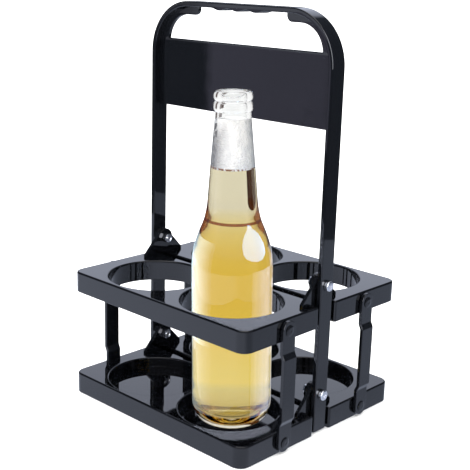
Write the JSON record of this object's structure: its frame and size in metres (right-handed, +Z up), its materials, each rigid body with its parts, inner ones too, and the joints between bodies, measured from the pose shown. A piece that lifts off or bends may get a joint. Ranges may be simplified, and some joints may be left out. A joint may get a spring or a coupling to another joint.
{
  "type": "folding bottle carrier",
  "caption": "Folding two-level bottle carrier with an arched handle, hinged half trays and side links, holding a clear long-neck bottle of pale beer.",
  "frame": {"origin": "on the floor under the middle of the carrier", "axes": "+Z up; X along the handle's width with the bottle at +X; the front half is at -Y"},
  "size_m": [0.2068, 0.184, 0.3254],
  "materials": {
    "black_plastic": "glossy black moulded plastic with faint flow haze and rub marks",
    "bright_steel": "bright plated steel",
    "clear_glass": "clear bottle glass",
    "pale_beer": "clear pale golden beer",
    "beer_foam": "fine frosty white foam"
  },
  "bodies": {
    "frame": {"handle_frame": "black_plastic", "bolt_bottom_left": "bright_steel", "bolt_top_left": "bright_steel", "bolt_bottom_right": "bright_steel", "bolt_top_right": "bright_steel", "nut_bottom_left": "bright_steel", "nut_top_left": "bright_steel", "nut_bottom_right": "bright_steel", "nut_top_right": "bright_steel"},
    "top_front": {"tray_top_front": "black_plastic"},
    "bottom_front": {"tray_bottom_front": "black_plastic", "bottle_glass": "clear_glass", "beer": "pale_beer", "beer_foam": "beer_foam"},
    "front_links": {"link_front_left": "black_plastic", "link_front_right": "black_plastic"},
    "top_back": {"tray_top_back": "black_plastic"},
    "bottom_back": {"tray_bottom_back": "black_plastic"},
    "back_links": {"link_back_left": "black_plastic", "link_back_right": "black_plastic"}
  },
  "joints": [
    {"name": "back_fold", "type": "hinge", "parent": "frame", "child": "top_back", "pos_m": [0, 0, 0.1212], "axis": [1, 0, 0], "range_deg": [0, 90]},
    {"name": "bottom_back_fold", "type": "hinge", "parent": "frame", "child": "bottom_back", "pos_m": [0, 0, 0.0317], "axis": [1, 0, 0], "range_deg": [0, 90]},
    {"name": "back_link_swing", "type": "hinge", "parent": "top_back", "child": "back_links", "pos_m": [0, 0.0475, 0.0981], "axis": [1, 0, 0], "range_deg": [-90, 0]},
    {"name": "front_fold", "type": "hinge", "parent": "frame", "child": "top_front", "pos_m": [0, 0, 0.1212], "axis": [-1, 0, 0], "range_deg": [0, 5]},
    {"name": "bottom_front_fold", "type": "hinge", "parent": "frame", "child": "bottom_front", "pos_m": [0, 0, 0.0317], "axis": [-1, 0, 0], "range_deg": [0, 5]},
    {"name": "front_link_swing", "type": "hinge", "parent": "top_front", "child": "front_links", "pos_m": [0, -0.0475, 0.0981], "axis": [-1, 0, 0], "range_deg": [-5, 0]}
  ],
  "couplings": [
    {"joint": "bottom_back_fold", "follows": "back_fold", "ratio": 1},
    {"joint": "back_link_swing", "follows": "back_fold", "ratio": -1},
    {"joint": "bottom_front_fold", "follows": "front_fold", "ratio": 1},
    {"joint": "front_link_swing", "follows": "front_fold", "ratio": -1}
  ]
}
